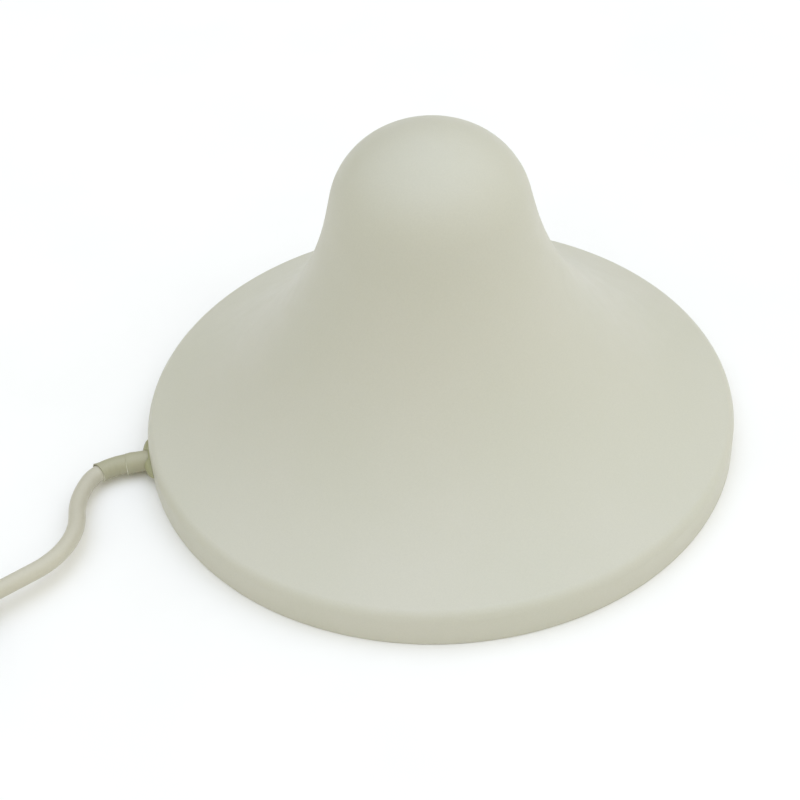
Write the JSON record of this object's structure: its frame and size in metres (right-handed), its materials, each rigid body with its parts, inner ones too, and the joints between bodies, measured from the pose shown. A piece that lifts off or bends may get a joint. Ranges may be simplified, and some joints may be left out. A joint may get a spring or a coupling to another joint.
{
  "type": "indoor ceiling dome antenna",
  "caption": "Bell-shaped indoor ceiling antenna of a cellular booster kit: twist-lock bracket, side-exit coaxial lead and cable jack.",
  "frame": {"origin": "centre of the face that rests on the ceiling, on the dome's axis", "axes": "+Z out of the ceiling along the dome's nose, -X towards the lead's exit in the rim"},
  "size_m": [0.2822, 0.186, 0.11],
  "materials": {
    "dome_plastic": "satin moulded plastic, warm off-white",
    "base_plastic": "fine-grained moulded plastic, warm off-white",
    "gland_plastic": "moulded, olive beige",
    "sleeve_plastic": "heat-shrink and moulded tube, beige",
    "jacket_plastic": "soft satin cable jacket, off-white",
    "white_plastic": "smooth, slightly waxy",
    "aluminium_sheet": "brushed sheet",
    "braid_metal": "tinned copper braid",
    "brass": "turned",
    "copper": "bare copper",
    "nickel": "nickel plate",
    "zinc_steel": "zinc plated",
    "black_plastic": "heat-shrink tubing, black"
  },
  "bodies": {
    "antenna": {"radome": "dome_plastic", "radome_screws": "zinc_steel", "base_plate": "base_plastic", "ground_plane": "aluminium_sheet", "ground_plane_screws": "zinc_steel", "radiator_cone": "aluminium_sheet", "radiator_support": "white_plastic", "support_screws": "zinc_steel", "feed_insulator": "white_plastic", "feed_pin": "brass", "feed_nut": "brass", "cable_core": "copper", "cable_dielectric": "white_plastic", "cable_braid": "braid_metal", "cable_jacket": "jacket_plastic", "heat_shrink_sleeve": "sleeve_plastic", "strain_relief_boot": "sleeve_plastic", "cable_gland": "gland_plastic", "cable_clamp": "white_plastic", "cable_clamp_screws": "zinc_steel", "ground_clamp": "brass", "ground_clamp_screws": "zinc_steel", "crimp_ferrule": "nickel", "connector_shell": "nickel", "connector_insulator": "white_plastic", "connector_contact": "brass", "connector_sleeve": "black_plastic"},
    "bracket": {"ceiling_bracket": "base_plastic"}
  },
  "joints": [
    {"name": "bracket_twist", "type": "hinge", "parent": "antenna", "child": "bracket", "pos_m": [0, 0, 0.0032], "axis": [0, 0, 1], "range_deg": [0, 20]}
  ]
}
